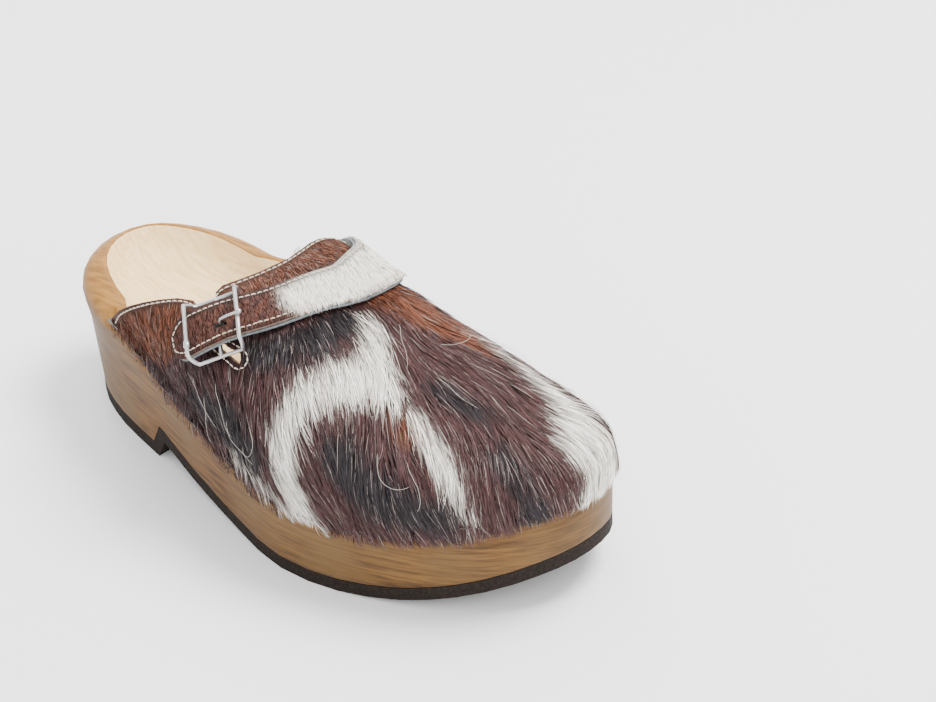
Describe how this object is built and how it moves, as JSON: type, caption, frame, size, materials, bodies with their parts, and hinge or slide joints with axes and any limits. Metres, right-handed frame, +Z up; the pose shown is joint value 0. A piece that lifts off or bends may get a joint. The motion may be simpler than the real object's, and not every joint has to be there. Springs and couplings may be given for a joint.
{
  "type": "clog",
  "caption": "Right-foot clog with a thick carved wooden sole, a rubber tread, an open back, a hair-on hide upper and a buckled strap over the instep.",
  "frame": {"origin": "on the ground, under the middle of the clog's box", "axes": "+X to the toe, +Y to the medial side, +Z up"},
  "size_m": [0.2802, 0.1132, 0.104],
  "materials": {
    "stained_wood": "stained sides, bare footbed, satin",
    "rubber": "matte",
    "cowhide": "long hair, brown, black and white",
    "lining_leather": "smooth, unpainted",
    "backing_leather": "suede, grey-blue",
    "nickel": "bright nickel",
    "staple_steel": "plain",
    "thread": "waxed cotton"
  },
  "bodies": {
    "shoe": {"buckle_chape": "backing_leather", "chape_rivet": "nickel", "rubber_outsole": "rubber", "strap_staple_1": "staple_steel", "strap_staple_2": "staple_steel", "topline_thread": "thread", "upper_hide": "cowhide", "upper_lining": "lining_leather", "upper_staple_1": "staple_steel", "upper_staple_2": "staple_steel", "upper_staple_3": "staple_steel", "upper_staple_4": "staple_steel", "upper_staple_5": "staple_steel", "upper_staple_6": "staple_steel", "upper_staple_7": "staple_steel", "upper_staple_8": "staple_steel", "upper_staple_9": "staple_steel", "upper_staple_10": "staple_steel", "upper_staple_11": "staple_steel", "upper_staple_12": "staple_steel", "upper_staple_13": "staple_steel", "upper_staple_14": "staple_steel", "upper_staple_15": "staple_steel", "upper_staple_16": "staple_steel", "upper_staple_17": "staple_steel", "wooden_sole": "stained_wood"},
    "strap": {"strap_hide": "cowhide", "strap_backing": "backing_leather", "strap_thread": "thread"},
    "buckle": {"buckle_frame": "nickel"},
    "prong": {"buckle_prong": "nickel"}
  },
  "joints": [
    {"name": "strap_open", "type": "hinge", "parent": "shoe", "child": "strap", "pos_m": [-0.04454, 0.04537, 0.05006], "axis": [-1, 0, 0], "range_deg": [0, 65], "deforming": ["strap_hide", "strap_backing", "strap_thread"]},
    {"name": "buckle_tilt", "type": "hinge", "parent": "shoe", "child": "buckle", "pos_m": [-0.01573, -0.03466, 0.08814], "axis": [0.6993, -0.587, -0.4081], "range_deg": [-4, 6]},
    {"name": "prong_lift", "type": "hinge", "parent": "buckle", "child": "prong", "pos_m": [-0.01573, -0.03466, 0.08814], "axis": [0.6993, -0.587, -0.4081], "range_deg": [0, 85]}
  ]
}
